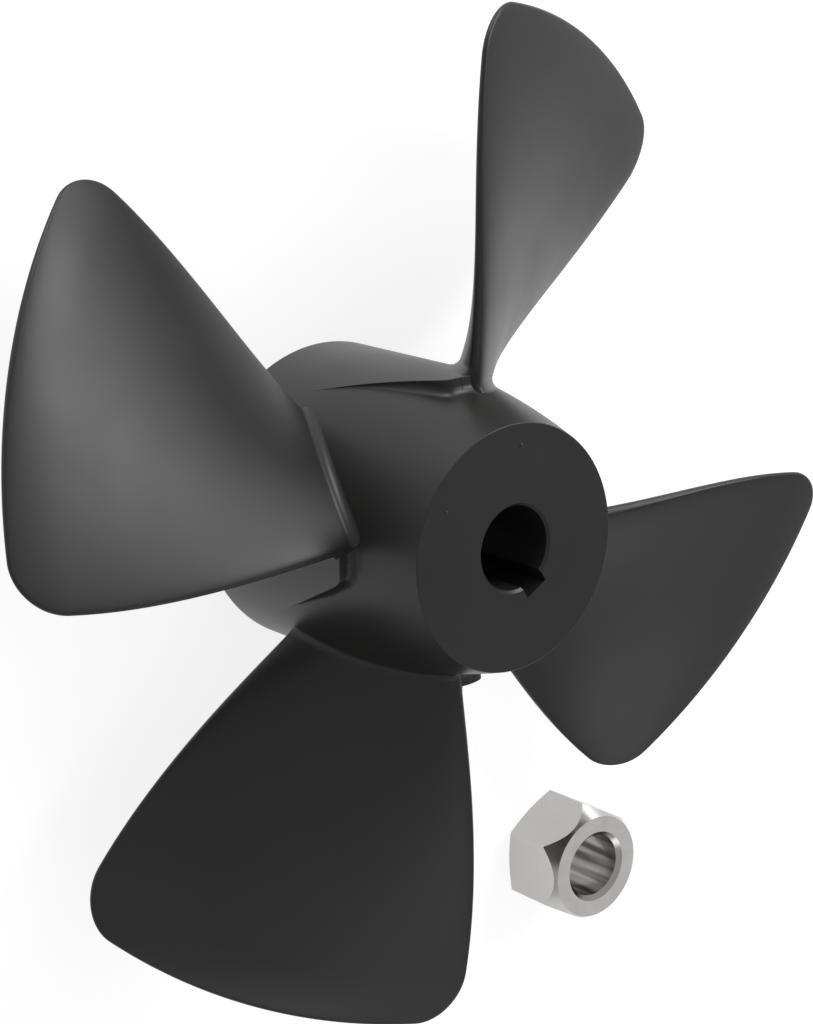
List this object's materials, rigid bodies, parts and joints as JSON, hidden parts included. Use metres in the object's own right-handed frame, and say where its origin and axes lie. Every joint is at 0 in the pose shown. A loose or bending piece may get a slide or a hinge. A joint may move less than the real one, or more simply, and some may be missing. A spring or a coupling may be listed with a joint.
{
  "type": "small craft propeller with shaft nut",
  "caption": "Right-hand screw propeller moulded in black nylon, with a keyed bore for the shaft, and the loose hexagon nut that holds it on.",
  "frame": {"origin": "on the shaft axis, in the plane of the hub's flat forward face, on which the propeller and the nut rest", "axes": "+Z along the shaft axis, aft, out of the face with the keyed bore's mouth; the nut lies at 45 degrees between +X and +Y"},
  "size_m": [0.305, 0.305, 0.089],
  "materials": {
    "nylon": "satin moulded black glass-filled nylon",
    "steel": "bright turned stainless steel"
  },
  "bodies": {
    "root": {"hub": "nylon", "blade_1": "nylon", "blade_2": "nylon", "blade_3": "nylon", "blade_4": "nylon", "nut": "steel"}
  },
  "joints": []
}
